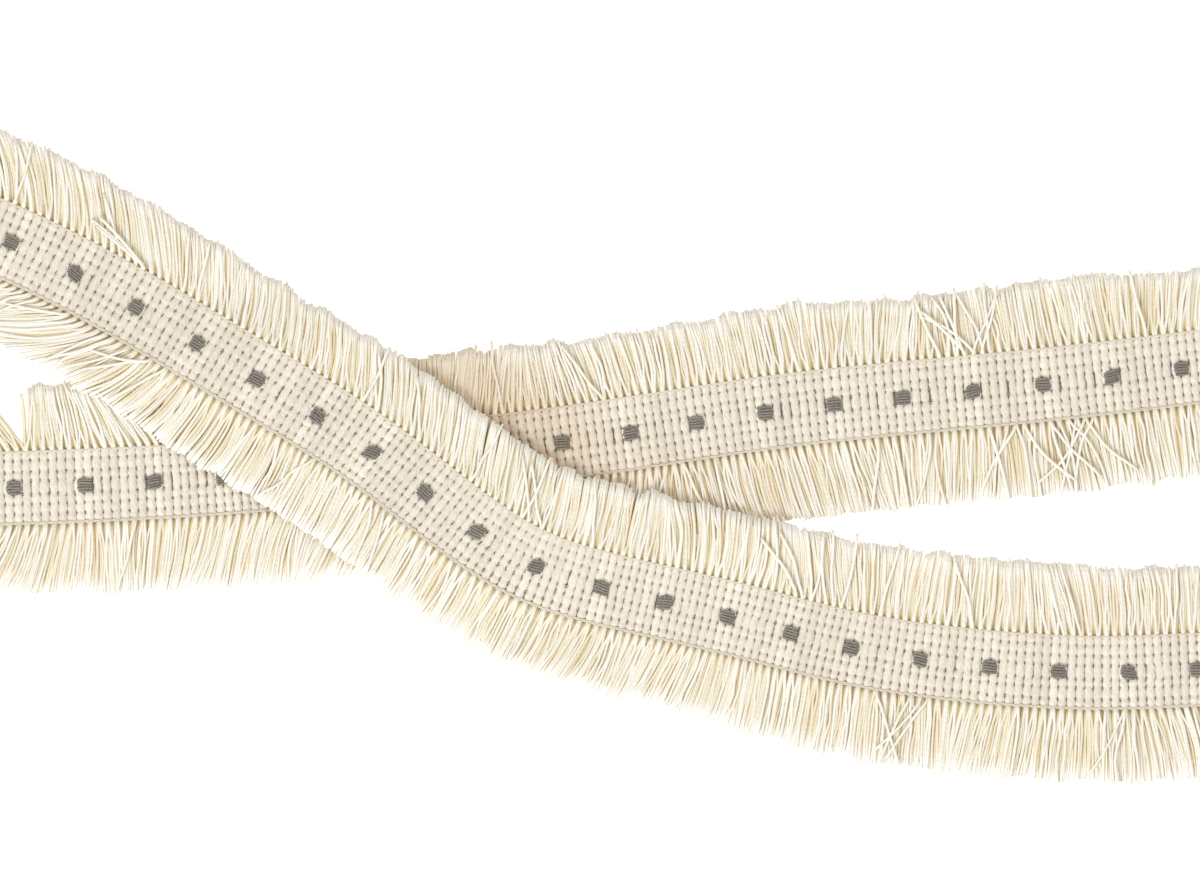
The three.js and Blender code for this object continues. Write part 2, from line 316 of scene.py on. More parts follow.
def from_line(plan, line):
    """Each plan point's way from the nearest point of a line."""
    away = np.empty_like(plan)
    for start in range(0, len(plan), POINTS_AT_ONCE):
        some = slice(start, start + POINTS_AT_ONCE)
        ways = plan[some, None, :] - line[None]
        nearest = np.hypot(ways[..., 0], ways[..., 1]).argmin(axis=1)
        away[some] = ways[np.arange(len(ways)), nearest]
    return away


def smooth(t):
    """From 0 to 1 as t goes from 0 to 1, level at both ends."""
    t = np.clip(t, 0, 1)
    return t * t * (3 - 2 * t)


class Route:
    """The tape's middle line, as close points with their distance along it."""

    def __init__(self):
        angles = np.radians(TURN_REACH * (2 * np.arange(TURN_KNOTS) / (TURN_KNOTS - 1) - 1))
        turn = [(TURN_X + TURN_RADIUS * math.cos(a), TURN_Y + TURN_RADIUS * math.sin(a)) for a in angles]
        knots = (np.array(UPPER_STRETCH + turn + LOWER_STRETCH) - BOX_MIDDLE) * MM
        stations = np.concatenate([[0], np.cumsum(np.hypot(*np.diff(knots, axis=0).T))])
        t = np.linspace(0, stations[-1], ROUTE_STEPS + 1)
        self.x = spline(stations, knots[:, 0], t)
        self.y = spline(stations, knots[:, 1], t)
        self.along = np.concatenate([[0], np.cumsum(np.hypot(np.diff(self.x), np.diff(self.y)))])
        turn_station = stations[len(UPPER_STRETCH) + TURN_KNOTS // 2]
        self.turn_at = self.along[t <= turn_station][-1]
        dx, dy = np.gradient(self.x, self.along), np.gradient(self.y, self.along)
        size = np.hypot(dx, dy)
        self.dx, self.dy = dx / size, dy / size
        kept = np.arange(len(t)) % LINE_STEP == 0
        on_lower = kept & (self.along > self.turn_at + LOWER_LINE_PAST_TURN)
        self.lower_line = np.column_stack([self.x[on_lower], self.y[on_lower]])
        on_upper = kept & (self.along < self.turn_at - UPPER_LINE_BEFORE_TURN)
        self.upper_line = np.column_stack([self.x[on_upper], self.y[on_upper]])

    def place(self, along):
        """x, y and the heading's x and y at a distance along the route."""
        return [np.interp(along, self.along, row) for row in (self.x, self.y, self.dx, self.dy)]

    def plan(self, along, left):
        """x and y at a distance along the route and to its left."""
        x, y, dx, dy = self.place(along)
        return x - dy * left, y + dx * left

    def lift(self, along, x, y):
        """How far the upper stretch is lifted at a plan point."""
        away = from_line(np.column_stack([np.ravel(x), np.ravel(y)]), self.lower_line)
        past = smooth((np.hypot(*away.T).reshape(np.shape(x)) - LIFT_REACH) / LIFT_EASE)
        return np.where(along <= self.turn_at, CROSSING_LIFT * (1 - past), 0.0)

    def painted_shadow(self, points):
        """How strong the upper stretch's painted shadow is at points of the lower one, from 0 to 1."""
        plan = points[:, :2]
        under = points[:, 2] < PAINTED_SHADOW_HEIGHT
        under &= np.hypot(*from_line(plan, self.lower_line).T) < LIFT_REACH
        away = from_line(plan[under], self.upper_line)
        reach = np.hypot(*away.T)
        turned = np.clip(PAINTED_SHADOW_TURN * away[:, 0] / reach, 0, 1)
        painted_shadow = np.zeros(len(points))
        painted_shadow[under] = turned * (1 - smooth((reach - PAINTED_SHADOW_START) / (PAINTED_SHADOW_END - PAINTED_SHADOW_START)))
        return painted_shadow

    def tape_lift(self, along, left):
        """The lift of a point on the tape, straight from its middle to its edge."""
        share = np.abs(left) / TAPE_HALF
        middle = self.lift(along, *self.plan(along, 0))
        edge = self.lift(along, *self.plan(along, np.sign(left) * TAPE_HALF))
        return middle * (1 - share) + edge * share

    def tape_points(self, along, left, height):
        """Points of the tape at distances along the route, to its left and over the surface."""
        x, y = self.plan(along, left)
        return np.stack([x, y, self.tape_lift(along, left) + height], axis=-1)


route = Route()


def dot_places():
    """Where the dots' middles lie along the route."""
    pitches = [pitch for count, pitch in DOT_RUNS for _ in range(count)]
    return FIRST_DOT_AT + MM * np.concatenate([[0], np.cumsum(pitches)])


DOTS = dot_places()
FIRST_RIB = -RIBS_PAST_FIRST_DOT
LAST_RIB = (len(DOTS) - 1) * RIBS_PER_DOT + RIBS_PAST_LAST_DOT


def rib_edge(rib):
    """Where a rib's edge lies along the route. Rib edge 0 is at the first dot's middle."""
    dot = np.clip(np.floor(np.asarray(rib) / RIBS_PER_DOT).astype(int), 0, len(DOTS) - 2)
    pitch = (DOTS[dot + 1] - DOTS[dot]) / RIBS_PER_DOT
    return DOTS[dot] + (rib - dot * RIBS_PER_DOT) * pitch


TAPE_START = float(rib_edge(FIRST_RIB))
TAPE_END = float(rib_edge(LAST_RIB))
RIBS = np.arange(FIRST_RIB, LAST_RIB)
RIB_MIDDLES = (rib_edge(RIBS) + rib_edge(RIBS + 1)) / 2
RIB_PITCHES = rib_edge(RIBS + 1) - rib_edge(RIBS)


def waves(along, seed, lengths, count=5):
    """Soft uneven noise along the route, about -1 to 1, from waves between a shortest and a longest."""
    draw = np.random.default_rng(seed)
    total = np.zeros(np.shape(along))
    for _ in range(count):
        length = draw.uniform(*lengths)
        total += np.sin(2 * math.pi * (along / length + draw.uniform()))
    return total / math.sqrt(count)


# Yarns as tubes


def yarn_tubes(paths, wide, high, sides, boxy=1.0):
    """Many like yarns as tubes with flat ends.

    paths is (yarns, rings, 3), wide and high are the half sizes at each ring, and boxy under 1 squares the
    rings. Gives the points, the quads, the end faces and each quad corner's place on its yarn.
    """
    yarns, rings, _ = paths.shape
    heading = np.gradient(paths, axis=1)
    heading /= np.linalg.norm(heading, axis=2, keepdims=True)
    across = np.cross((0, 0, 1), heading)
    across /= np.linalg.norm(across, axis=2, keepdims=True)
    upward = np.cross(heading, across)
    turn = 2 * math.pi * np.arange(sides) / sides
    sideways, upright = (np.sign(wave) * np.abs(wave) ** boxy for wave in (np.cos(turn), np.sin(turn)))
    points = (
        paths[:, :, None]
        + across[:, :, None] * (wide[:, :, None] * sideways)[..., None]
        + upward[:, :, None] * (high[:, :, None] * upright)[..., None]
    )
    index = np.arange(yarns * rings * sides).reshape(yarns, rings, sides)
    after = np.roll(index, -1, axis=2)
    quads = np.stack([index[:, :-1], after[:, :-1], after[:, 1:], index[:, 1:]], axis=-1)
    ends = np.concatenate([index[:, 0, ::-1], index[:, -1]])
    reach = np.concatenate(
        [np.zeros((yarns, 1)), np.cumsum(np.linalg.norm(np.diff(paths, axis=1), axis=2), axis=1)], axis=1
    )
    around = np.arange(sides + 1) / sides
    u = np.broadcast_to(reach[:, :, None], (yarns, rings, sides))
    v0 = np.broadcast_to(around[:-1], (yarns, rings - 1, sides))
    v1 = np.broadcast_to(around[1:], (yarns, rings - 1, sides))
    corners = np.stack(
        [
            np.stack([u[:, :-1], v0], axis=-1),
            np.stack([u[:, :-1], v1], axis=-1),
            np.stack([u[:, 1:], v1], axis=-1),
            np.stack([u[:, 1:], v0], axis=-1),
        ],
        axis=-2,
    )
    return points.reshape(-1, 3), quads.reshape(-1, 4), ends, corners.reshape(-1, 2)


# The upper side of a yarn is at a quarter of the way around
UPPER_SIDE = 0.25


def yarn_piece(name, tubes, material, tints, replaces=(), painted_shade_depth=None):
    """A piece of many yarns: one joined mesh, with three values for the material.

    tints is a number from 0 to 1 for each yarn. The second value, given for each ring of each yarn, is
    painted shade: it grows where the yarn lies under others, up to 3, and below 0 it is painted light at
    pale tips. The third, a painted shadow beside the crossing, is the route's.
    """
    points, quads, ends, corners = tubes
    mesh = bpy.data.meshes.new(name)
    mesh.from_pydata(points, [], quads.tolist() + ends.tolist())
    piece = bpy.data.objects.new(name, mesh)
    bpy.context.scene.collection.objects.link(piece)
    layer = mesh.uv_layers.new(name="yarn")
    flat = np.zeros((len(mesh.loops), 2), np.float32)
    flat[: len(corners)] = corners / MM
    flat[: len(corners), 1] *= MM
    # End faces take the upper side's place around, so the painted side shade leaves them light
    flat[len(corners) :, 1] = UPPER_SIDE
    layer.data.foreach_set("uv", flat.ravel())
    painted_shade_depth = np.zeros(len(tints)) if painted_shade_depth is None else painted_shade_depth
    # Painted shadow from the upper stretch on the lower one beside the crossing
    painted_shadow = route.painted_shadow(points)
    for attribute, values in (("tint", tints), ("painted_shade_depth", np.ravel(painted_shade_depth)), ("painted_shadow", painted_shadow)):
        data = mesh.attributes.new(attribute, "FLOAT", "POINT").data
        data.foreach_set("value", np.repeat(values, len(points) // len(values)).astype(np.float32))
    rounded = np.ones(len(mesh.polygons), bool)
    rounded[len(quads) :] = False
    mesh.polygons.foreach_set("use_smooth", rounded)
    mesh.materials.append(material)
    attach(piece, "root")
    if replaces:
        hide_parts(*replaces)
    return piece


def even_yarns(name, paths, half, sides, material, tints, flatness=1.0):
    """A piece of yarns that are as thick all along."""
    paths = np.array(paths)
    wide = np.full(paths.shape[:2], half)
    yarn_piece(name, yarn_tubes(paths, wide, wide * flatness, sides), material, np.array(tints))


# Materials

# Painted shade on the sides of yarns, tan on the strands and brown on the tape's threads, and painted light
# that makes the strands' tips pale
PAINTED_SIDE_SHADE_TAN = (0.72, 0.565, 0.265)
PAINTED_TIP_LIGHT = (0.95, 0.905, 0.8)
PAINTED_RIB_SIDE_SHADE = (0.6, 0.465, 0.32)

# The ribs on both sides of each dot's middle are paler than the rest
CREAM_RIB = (0.81, 0.745, 0.645)

# Painted shadow beside the crossing: what is kept of each colour where the upper stretch shades the lower
# one
PAINTED_CROSSING_SHADOW = (0.88, 0.8, 0.72)

# How much the parts of the spun yarn weigh in its height and colour: its fibres, the painted shade in its
# grooves and on its sides, the painted light on pale tips, its patches, and the painted shade on yarns that
# lie deep
FIBRES_ALONG = 0.9
FIBRES_AROUND = 9.0
FIBRES_BY_TINT = 97.0
FIBRE_HEIGHT = 0.7
GROOVE_POWER = 2.0
SIDE_SHADE_START = 0.95
SIDE_SHADE_BY_DEPTH = 0.35
TIP_LIGHT_BY_DEPTH = 0.75
FIBRE_PATCHES = 2.0
TINT_PATCHES = 0.4
GLOOM_START = 1.9
GLOOM_BY_DEPTH = 0.28


def new_material(name):
    """A material with its node tree and its shader."""
    material = bpy.data.materials.new(name)
    material.use_nodes = True
    return material, material.node_tree, material.node_tree.nodes["Principled BSDF"]


def set_inputs(node, values):
    for name, value in values.items():
        node.inputs[name].default_value = value


def bump_node(tree, height, strength, distance):
    bump = tree.nodes.new("ShaderNodeBump")
    set_inputs(bump, {"Strength": strength, "Distance": distance})
    tree.links.new(height, bump.inputs["Height"])
    return bump.outputs["Normal"]


def group_socket(group, name, socket_type, value=None, output=False):
    socket = group.interface.new_socket(
        name=name, in_out="OUTPUT" if output else "INPUT", socket_type=socket_type
    )
    if value is not None:
        socket.default_value = value


def feed(tree, socket, value):
    """Links an output to a socket, or sets the socket to a plain value."""
    if isinstance(value, bpy.types.NodeSocket):
        tree.links.new(value, socket)
    else:
        socket.default_value = value


def math_node(tree, operation, *inputs):
    node = tree.nodes.new("ShaderNodeMath")
    node.operation = operation
    for socket, value in zip(node.inputs, inputs):
        feed(tree, socket, value)
    return node.outputs[0]


def mix_node(tree, factor, first, second, blend="MIX"):
    node = tree.nodes.new("ShaderNodeMix")
    node.data_type = "RGBA"
    node.blend_type = blend
    feed(tree, node.inputs["Factor"], factor)
    feed(tree, node.inputs["A"], first)
    feed(tree, node.inputs["B"], second)
    return node.outputs["Result"]


def attribute_node(tree, name):
    node = tree.nodes.new("ShaderNodeAttribute")
    node.attribute_name = name
    return node.outputs["Fac"]


def spun_yarn_group():
    """Twist and fibres of a spun yarn, from its own UV map: millimetres along it and its share around.

    It also paints shade in the grooves, on the sides and where yarns lie deep, light on pale tips, and a
    shadow beside the crossing.
    """
    name = "Spun yarn"
    if name in bpy.data.node_groups:
        return bpy.data.node_groups[name]
    group = bpy.data.node_groups.new(name, "ShaderNodeTree")
    for socket, value in (
        ("Colour", (0.8, 0.7, 0.6, 1)),
        ("Groove Shade Colour", (0.6, 0.5, 0.4, 1)),
        ("Lay", 0.8),
        ("Plies", 2.0),
        ("Groove", 0.3),
        ("Unevenness", 0.1),
        ("Side Shade Colour", (0.6, 0.5, 0.4, 1)),
        ("Side", 0.5),
    ):
        socket_type = "NodeSocketColor" if "Colour" in socket else "NodeSocketFloat"
        group_socket(group, socket, socket_type, value)
    group_socket(group, "Colour", "NodeSocketColor", output=True)
    group_socket(group, "Height", "NodeSocketFloat", output=True)
    nodes, links = group.nodes, group.links
    inputs = nodes.new("NodeGroupInput")
    outputs = nodes.new("NodeGroupOutput")
    uv = nodes.new("ShaderNodeUVMap")
    uv.uv_map = "yarn"
    split = nodes.new("ShaderNodeSeparateXYZ")
    links.new(uv.outputs["UV"], split.inputs[0])
    tint = attribute_node(group, "tint")
    turns = math_node(group, "DIVIDE", split.outputs["X"], inputs.outputs["Lay"])
    around = math_node(group, "MULTIPLY", split.outputs["Y"], inputs.outputs["Plies"])
    phase = math_node(group, "MULTIPLY", math_node(group, "ADD", turns, around), 2 * math.pi)
    lobe = math_node(group, "ABSOLUTE", math_node(group, "SINE", math_node(group, "MULTIPLY", phase, 0.5)))
    fibres = nodes.new("ShaderNodeTexNoise")
    set_inputs(fibres, {"Scale": 1.0, "Detail": 3.0})
    stretch = nodes.new("ShaderNodeCombineXYZ")
    links.new(math_node(group, "MULTIPLY", split.outputs["X"], FIBRES_ALONG), stretch.inputs["X"])
    links.new(math_node(group, "MULTIPLY", split.outputs["Y"], FIBRES_AROUND), stretch.inputs["Y"])
    links.new(math_node(group, "MULTIPLY", tint, FIBRES_BY_TINT), stretch.inputs["Z"])
    links.new(stretch.outputs[0], fibres.inputs["Vector"])
    height = math_node(group, "MULTIPLY", fibres.outputs["Fac"], FIBRE_HEIGHT)
    height = math_node(group, "ADD", lobe, height)
    links.new(height, outputs.inputs["Height"])
    # Painted shade in the grooves between the plies
    groove = math_node(group, "SUBTRACT", 1.0, lobe)
    groove = math_node(group, "POWER", groove, GROOVE_POWER)
    groove = math_node(group, "MULTIPLY", groove, inputs.outputs["Groove"])
    yarn = mix_node(group, groove, inputs.outputs["Colour"], inputs.outputs["Groove Shade Colour"])
    # Painted shade on the yarn's sides, stronger where the yarn lies deep
    upper = math_node(group, "SINE", math_node(group, "MULTIPLY", split.outputs["Y"], 2 * math.pi))
    lower = math_node(group, "SUBTRACT", SIDE_SHADE_START, upper)
    painted_shade_depth = attribute_node(group, "painted_shade_depth")
    under = math_node(group, "MULTIPLY", painted_shade_depth, SIDE_SHADE_BY_DEPTH)
    lower = math_node(group, "ADD", lower, under)
    lower = math_node(group, "MULTIPLY", lower, inputs.outputs["Side"])
    lower.node.use_clamp = True
    yarn = mix_node(group, lower, yarn, inputs.outputs["Side Shade Colour"])
    # Painted light: the yarn turns pale where its depth is below 0, at the strands' tips
    tip_light = math_node(group, "MULTIPLY", painted_shade_depth, -TIP_LIGHT_BY_DEPTH)
    tip_light.node.use_clamp = True
    yarn = mix_node(group, tip_light, yarn, (*PAINTED_TIP_LIGHT, 1))
    patchy = math_node(group, "SUBTRACT", fibres.outputs["Fac"], 0.5)
    patchy = math_node(group, "MULTIPLY", patchy, FIBRE_PATCHES)
    own = math_node(group, "SUBTRACT", tint, 0.5)
    own = math_node(group, "MULTIPLY", own, TINT_PATCHES)
    patchy = math_node(group, "ADD", patchy, own)
    patchy = math_node(group, "MULTIPLY", patchy, inputs.outputs["Unevenness"])
    # Painted shade: the yarns that lie deepest, at the bed's roots, are darkened
    gloom = math_node(group, "SUBTRACT", painted_shade_depth, GLOOM_START)
    gloom = math_node(group, "MULTIPLY", gloom, GLOOM_BY_DEPTH)
    gloom.node.use_clamp = True
    value = math_node(group, "SUBTRACT", math_node(group, "ADD", patchy, 1.0), gloom)
    shade = nodes.new("ShaderNodeHueSaturation")
    links.new(value, shade.inputs["Value"])
    links.new(yarn, shade.inputs["Color"])
    # Painted shadow beside the crossing
    painted_shadow = attribute_node(group, "painted_shadow")
    yarn = mix_node(group, painted_shadow, shade.outputs["Color"], (*PAINTED_CROSSING_SHADOW, 1), "MULTIPLY")
    links.new(yarn, outputs.inputs["Colour"])
    return group


def yarn_material(name, colour, groove_shade_colour, lay, plies, groove, unevenness, depth, side_shade_colour, side):
    """A matte spun cotton yarn.

    lay is the length of one turn of its twist in millimetres. groove, unevenness and side say how strong
    the grooves' painted shade, the patches and the sides' painted shade are, and depth is the bump's.
    """
    material, tree, shader = new_material(name)
    set_inputs(
        shader,
        {"Roughness": 0.7, "Specular IOR Level": 0.35, "Sheen Weight": 0.08, "Sheen Roughness": 0.6},
    )
    spun = tree.nodes.new("ShaderNodeGroup")
    spun.node_tree = spun_yarn_group()
    values = {
        "Colour": (*colour, 1),
        "Groove Shade Colour": (*groove_shade_colour, 1),
        "Lay": lay,
        "Plies": plies,
        "Groove": groove,
        "Unevenness": unevenness,
        "Side Shade Colour": (*side_shade_colour, 1),
        "Side": side,
    }
    set_inputs(spun, values)
    tree.links.new(spun.outputs["Colour"], shader.inputs["Base Color"])
    tree.links.new(bump_node(tree, spun.outputs["Height"], 0.5, depth), shader.inputs["Normal"])
    return material


def shaded(colour, share):
    """The colour at a share of its light."""
    return tuple(channel * share for channel in colour)


# The materials below paint shade in each yarn's grooves and on its sides
def strand_material():
    colour = colours().strand
    return yarn_material(
        "Cream fringe cotton", colour, shaded(colour, 0.8), lay=1.5, plies=2, groove=0.3,
        unevenness=0.12, depth=0.1 * MM, side_shade_colour=PAINTED_SIDE_SHADE_TAN, side=0.84,
    )


def rib_material(name="Beige rib cotton", colour=None):
    colour = colour or colours().rib
    return yarn_material(
        name, colour, shaded(colour, 0.86), lay=2.6, plies=7, groove=0.25,
        unevenness=0.24, depth=0.13 * MM, side_shade_colour=PAINTED_RIB_SIDE_SHADE, side=0.18,
    )


def binder_material():
    colour = colours().binder
    return yarn_material(
        "Rosy binder thread", colour, shaded(colour, 0.8), lay=0.6, plies=2, groove=0.4,
        unevenness=0.15, depth=0.05 * MM, side_shade_colour=PAINTED_RIB_SIDE_SHADE, side=0.3,
    )


def selvedge_material():
    colour = colours().binder
    return yarn_material(
        "Beige selvedge cord", colour, shaded(colour, 0.9), lay=0.9, plies=2, groove=0.35,
        unevenness=0.1, depth=0.08 * MM, side_shade_colour=PAINTED_RIB_SIDE_SHADE, side=0.22,
    )


def dot_material():
    colour = colours().dot
    return yarn_material(
        "Grey dot yarn", colour, shaded(colour, 0.4), lay=1.1, plies=2, groove=0.7,
        unevenness=0.6, depth=0.1 * MM, side_shade_colour=shaded(colour, 0.4), side=0.5,
    )


# Pieces

GROUND_STEP = 2.0 * MM
GROUND_COLUMNS = 8
GROUND_WIDTH = TAPE_WIDTH - 0.6 * MM
GROUND_HEIGHT = 0.15 * MM
GROUND_THICKNESS = 0.4 * MM
# The ground cloth's dark tan is painted shade, seen in the gaps between the ribs
GROUND_SHADE_DARK = (0.27, 0.2, 0.13, 1)
GROUND_SHADE_LIGHT = (0.48, 0.37, 0.26, 1)


class TRIM_OT_ground(bpy.types.Operator):
    """Lays the thin ground cloth that the ribs are woven over"""

    bl_idname = "trim.ground"
    bl_label = "Lay ground cloth"

    def execute(self, context):
        rows = int((TAPE_END - TAPE_START) / GROUND_STEP)
        bpy.ops.object.select_all(action="DESELECT")
        bpy.ops.mesh.primitive_grid_add(x_subdivisions=rows, y_subdivisions=GROUND_COLUMNS, size=1)
        ground = context.object
        ground.name = "tape_ground"
        flat = np.zeros(len(ground.data.vertices) * 3)
        ground.data.vertices.foreach_get("co", flat)
        flat = flat.reshape(-1, 3)
        along = TAPE_START + (flat[:, 0] + 0.5) * (TAPE_END - TAPE_START)
        left = flat[:, 1] * GROUND_WIDTH
        laid = route.tape_points(along, left, GROUND_HEIGHT)
        ground.data.vertices.foreach_set("co", laid.ravel())
        ground.data.update()
        solid = ground.modifiers.new("Cloth thickness", "SOLIDIFY")
        solid.thickness = GROUND_THICKNESS
        solid.offset = 1.0
        bpy.ops.object.modifier_apply(modifier=solid.name)
        bpy.ops.object.shade_smooth_by_angle(angle=math.radians(40))
        ground.data.materials.append(ground_material())
        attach(ground, "root")
        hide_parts("tape")
        return {"FINISHED"}


def ground_material():
    material, tree, shader = new_material("Ground cloth in painted shade")
    shader.inputs["Roughness"].default_value = 0.95
    place = tree.nodes.new("ShaderNodeTexCoord")
    weave = tree.nodes.new("ShaderNodeTexNoise")
    set_inputs(weave, {"Scale": 900.0, "Detail": 3.0})
    tree.links.new(place.outputs["Object"], weave.inputs["Vector"])
    ramp = tree.nodes.new("ShaderNodeValToRGB")
    ramp.color_ramp.elements[0].color = GROUND_SHADE_DARK
    ramp.color_ramp.elements[1].color = GROUND_SHADE_LIGHT
    tree.links.new(weave.outputs["Fac"], ramp.inputs["Fac"])
    tree.links.new(ramp.outputs["Color"], shader.inputs["Base Color"])
    tree.links.new(bump_node(tree, weave.outputs["Fac"], 0.4, 0.1 * MM), shader.inputs["Normal"])
    return material


RINGS_PER_CELL = 4
RIB_SIDES = 8
RIB_BOXY = 0.6
PINCH_WIDTH = 0.78
PINCH_HEIGHT = 0.94
FULL_WIDTH = 1.16
FULL_HEIGHT = 1.0
PINCH_REACH = 1.1 * MM
RIB_END_INSET = 0.25 * MM
RIB_END_FULL = 0.7
OUTER_BINDER_FULL = 0.4

# How far ribs bow along the route in the dotted row, and how far each ring strays
RIB_BOW = 0.16 * MM
WEAK_BOW = 0.6
STRONG_BOW = 0.4 * MM
STRONG_BOW_SHARE = 0.16
DOTTED_ROW_HALF = 3.2 * MM
RIB_SWAY = 0.07 * MM

# Ribs vary in thickness, and some are slim in the middle of the row, more of them in the lower stretch
PLUMPNESS_SPREAD = 0.04
SLIM_SHARE_UPPER = 0.15
SLIM_SHARE_LOWER = 0.65
SLIMMING = 0.14
SLIM_HALF = 2 * MM
# Painted shade along the pinches where the binder threads cross the ribs
PINCH_PAINTED_SHADE = 0.9


def rib_rings():
    """Each ring's distance to the left, and how full the rib is there: 0 at a binder, 1 in mid-cell."""
    lefts = [-TAPE_HALF + RIB_END_INSET]
    fulls = [RIB_END_FULL]
    for low, high in zip(BINDER_LINES[:-1], BINDER_LINES[1:]):
        for i in range(RINGS_PER_CELL):
            share = i / RINGS_PER_CELL
            lefts.append((low + (high - low) * share) * MM)
            from_binder = min(share, 1 - share) * (high - low) * MM
            fulls.append(float(smooth(from_binder / PINCH_REACH)))
    lefts += [BINDER_LINES[-1] * MM, TAPE_HALF - RIB_END_INSET]
    fulls += [OUTER_BINDER_FULL, RIB_END_FULL]
    fulls[1] = OUTER_BINDER_FULL
    return np.array(lefts), np.array(fulls)


def rib_lines(lefts, seed):
    """Each rib's line along the route: its middle, with a few bowed in the dotted row."""
    draw = np.random.default_rng(seed)
    bow = draw.normal(0, RIB_BOW, len(RIBS))
    strong = draw.random(len(RIBS)) < STRONG_BOW_SHARE
    bow = np.where(strong, np.sign(bow) * STRONG_BOW, bow * WEAK_BOW)
    in_row = np.clip(1 - (lefts / DOTTED_ROW_HALF) ** 2, 0, 1)
    sway = draw.normal(0, RIB_SWAY, (len(RIBS), len(lefts)))
    return RIB_MIDDLES[:, None] + bow[:, None] * in_row + sway


class TRIM_OT_ribs(bpy.types.Operator):
    """Weaves the raised ribs across the tape, each pinched where the binder threads cross it"""

    bl_idname = "trim.ribs"
    bl_label = "Weave ribs"

    def execute(self, context):
        lefts, fulls = rib_rings()
        along = rib_lines(lefts, 11)
        crest = sizes().rib_crest
        draw = np.random.default_rng(12)
        plump = draw.normal(1, PLUMPNESS_SPREAD, along.shape)
        wide = RIB_PITCHES[:, None] * 0.5 * (PINCH_WIDTH + (FULL_WIDTH - PINCH_WIDTH) * fulls) * plump
        on_lower = RIB_MIDDLES > route.turn_at
        slim = draw.random(len(RIBS)) < np.where(on_lower, SLIM_SHARE_LOWER, SLIM_SHARE_UPPER)
        wide = wide * (1 - SLIMMING * slim[:, None] * (np.abs(lefts) < SLIM_HALF))
        high = crest * 0.5 * (PINCH_HEIGHT + (FULL_HEIGHT - PINCH_HEIGHT) * fulls) * plump
        left = np.broadcast_to(lefts, along.shape)
        middle = route.tape_points(along, left, 0.0)
        middle[..., 2] += high
        material = rib_material()
        tints = draw.random(len(RIBS))
        # Painted shade along the pinches
        painted_shade_depth = np.broadcast_to(PINCH_PAINTED_SHADE * (1 - fulls), along.shape)
        by_dot = np.isin(RIBS % RIBS_PER_DOT, (0, RIBS_PER_DOT - 1))
        cream = rib_material("Cream rib cotton", CREAM_RIB)
        for name, chosen, finish in (
            ("ribs_upper", ~by_dot & ~on_lower, material),
            ("ribs_lower", ~by_dot & on_lower, material),
            ("ribs_by_dots", by_dot, cream),
        ):
            tubes = yarn_tubes(middle[chosen], wide[chosen], high[chosen], RIB_SIDES, RIB_BOXY)
            yarn_piece(name, tubes, finish, tints[chosen], (), painted_shade_depth[chosen])
        return {"FINISHED"}


BINDER_SIDES = 5
CORD_SIDES = 6
BINDER_DOWN = 0.55
BINDER_UP = 0.935
BINDER_WAVE = 0.08 * MM
BINDER_WAVE_LENGTHS = (6 * MM, 30 * MM)


class TRIM_OT_binders(bpy.types.Operator):
    """Passes the fine binder threads along the tape, over each rib and down between the ribs"""

    bl_idname = "trim.binders"
    bl_label = "Pass binder threads"

    def execute(self, context):
        radius = sizes().binder_thickness / 2
        crest = sizes().rib_crest
        edges = rib_edge(np.arange(FIRST_RIB, LAST_RIB + 1))
        along = np.empty(len(edges) * 2 - 1)
        along[0::2] = edges
        along[1::2] = RIB_MIDDLES
        height = np.empty(len(along))
        height[0::2] = crest * BINDER_DOWN
        height[1::2] = crest * BINDER_UP
        paths = []
        for i, line in enumerate(BINDER_LINES[1:-1]):
            left = line * MM + waves(along, 20 + i, BINDER_WAVE_LENGTHS) * BINDER_WAVE
            paths.append(route.tape_points(along, left, height))
        tints = np.linspace(0.2, 0.8, len(paths))
        even_yarns("binder_threads", paths, radius, BINDER_SIDES, binder_material(), tints)
        return {"FINISHED"}


SELVEDGE_STEPS = 4
SELVEDGE_INSET = 0.8 * MM
SELVEDGE_HEIGHT = 0.93
PLY_SWING = 0.9
RIBS_PER_TWIST = 2


class TRIM_OT_selvedges(bpy.types.Operator):
    """Twists the cord along each edge of the tape"""

    bl_idname = "trim.selvedges"
    bl_label = "Twist selvedge cords"

    def execute(self, context):
        ply = sizes().ply_thickness / 2
        count = (LAST_RIB - FIRST_RIB) * SELVEDGE_STEPS
        rib = FIRST_RIB + np.arange(count + 1) / SELVEDGE_STEPS
        along = rib_edge(rib)
        paths = []
        for side in (1, -1):
            for start in (0.0, 0.5):
                turn = 2 * math.pi * (rib / RIBS_PER_TWIST + start) * side
                left = side * (TAPE_HALF - SELVEDGE_INSET) + ply * PLY_SWING * np.cos(turn)
                height = sizes().rib_crest * SELVEDGE_HEIGHT + ply * np.sin(turn)
                paths.append(route.tape_points(along, left, height))
        tints = (0.3, 0.7, 0.5, 0.4)
        even_yarns("selvedge_cords", paths, ply, CORD_SIDES, selvedge_material(), tints)
        return {"FINISHED"}


UNDERLAY_LINES = (-1.5, -0.5, 0.5, 1.5)
UNDERLAY_STEP = 1.3 * MM
UNDERLAY_HEIGHT = 0.62 * MM
UNDERLAY_HALF = 0.5 * MM
UNDERLAY_FLATNESS = 0.7
UNDERLAY_WAVE = 0.15 * MM
UNDERLAY_WAVE_LENGTHS = (8 * MM, 40 * MM)


